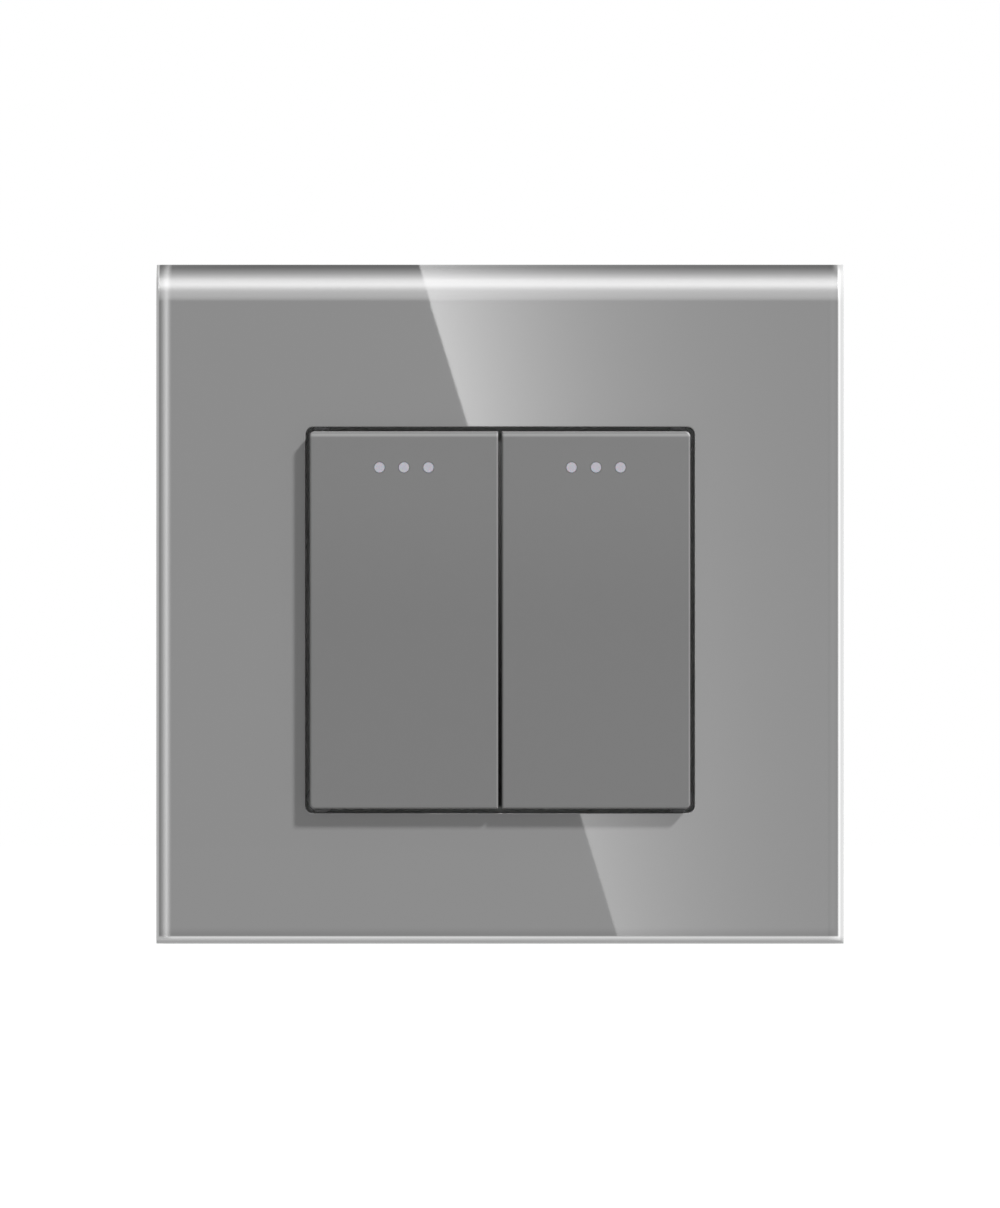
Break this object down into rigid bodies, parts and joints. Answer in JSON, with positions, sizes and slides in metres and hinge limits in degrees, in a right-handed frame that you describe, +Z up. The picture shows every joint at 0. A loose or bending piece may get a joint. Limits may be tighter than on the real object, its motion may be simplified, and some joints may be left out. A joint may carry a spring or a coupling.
{
  "type": "double light switch",
  "caption": "Double rocker wall switch: two tall grey keys with small dots in the opening of a square grey glass panel, on a steel plate with a moulded base.",
  "frame": {"origin": "middle of the mechanism on the wall plane, between the two box screws", "axes": "+Z up, -Y out of the wall towards the room, +X to the right as seen from the room"},
  "size_m": [0.086, 0.031, 0.085],
  "materials": {
    "grey_glass": "polished, back-painted grey",
    "foam_tape": "foam",
    "carrier_plastic": "satin moulded",
    "zinc_steel": "zinc plated",
    "base_plastic": "fine moulded texture",
    "cover_plastic": "fine moulded texture",
    "screw_steel": "zinc plated",
    "black_steel": "blackened",
    "rivet_steel": "plain",
    "key_plastic": "satin moulded",
    "dot_plastic": "translucent",
    "actuator_plastic": "moulded",
    "brass": "drawn",
    "spring_steel": "drawn wire",
    "copper": "rolled",
    "silver": "satin"
  },
  "bodies": {
    "root": {"glass_panel": "grey_glass", "panel_bonding_tape": "foam_tape", "carrier_frame": "carrier_plastic", "mounting_plate": "zinc_steel", "base_housing": "base_plastic", "bearing_cover": "cover_plastic", "cover_screws": "black_steel", "plate_rivets": "rivet_steel", "left_common_strip": "brass", "left_upper_strip": "brass", "left_lower_strip": "brass", "left_fixed_contacts": "silver", "left_terminal_blocks": "brass", "left_terminal_screws": "screw_steel", "right_common_strip": "brass", "right_upper_strip": "brass", "right_lower_strip": "brass", "right_fixed_contacts": "silver", "right_terminal_blocks": "brass", "right_terminal_screws": "screw_steel"},
    "left_rocker": {"left_key": "key_plastic", "left_locator_dots": "dot_plastic", "left_actuator": "actuator_plastic", "left_plunger_spring": "spring_steel"},
    "left_plunger_pin": {"left_plunger": "brass"},
    "left_blade": {"left_contact_blade": "copper", "left_blade_contacts": "silver"},
    "right_rocker": {"right_key": "key_plastic", "right_locator_dots": "dot_plastic", "right_actuator": "actuator_plastic", "right_plunger_spring": "spring_steel"},
    "right_plunger_pin": {"right_plunger": "brass"},
    "right_blade": {"right_contact_blade": "copper", "right_blade_contacts": "silver"}
  },
  "joints": [
    {"name": "left_rocker_hinge", "type": "hinge", "parent": "root", "child": "left_rocker", "pos_m": [-0.012, -0.007, 0], "axis": [1, 0, 0], "range_deg": [0, 5]},
    {"name": "left_blade_hinge", "type": "hinge", "parent": "root", "child": "left_blade", "pos_m": [-0.012, 0.0044, 0], "axis": [1, 0, 0], "range_deg": [-20, 0]},
    {"name": "left_plunger_slide", "type": "slide", "parent": "left_rocker", "child": "left_plunger_pin", "axis": [0, 1, 0], "range_m": [-0.0012, 0], "stiffness_N_per_m": 800, "springref_m": 0.002, "deforming": ["left_plunger_spring"]},
    {"name": "right_rocker_hinge", "type": "hinge", "parent": "root", "child": "right_rocker", "pos_m": [0.012, -0.007, 0], "axis": [1, 0, 0], "range_deg": [0, 5]},
    {"name": "right_blade_hinge", "type": "hinge", "parent": "root", "child": "right_blade", "pos_m": [0.012, 0.0044, 0], "axis": [1, 0, 0], "range_deg": [-20, 0]},
    {"name": "right_plunger_slide", "type": "slide", "parent": "right_rocker", "child": "right_plunger_pin", "axis": [0, 1, 0], "range_m": [-0.0012, 0], "stiffness_N_per_m": 800, "springref_m": 0.002, "deforming": ["right_plunger_spring"]}
  ],
  "couplings": [
    {"joint": "left_blade_hinge", "follows": "left_rocker_hinge", "ratio": -4},
    {"joint": "right_blade_hinge", "follows": "right_rocker_hinge", "ratio": -4}
  ]
}
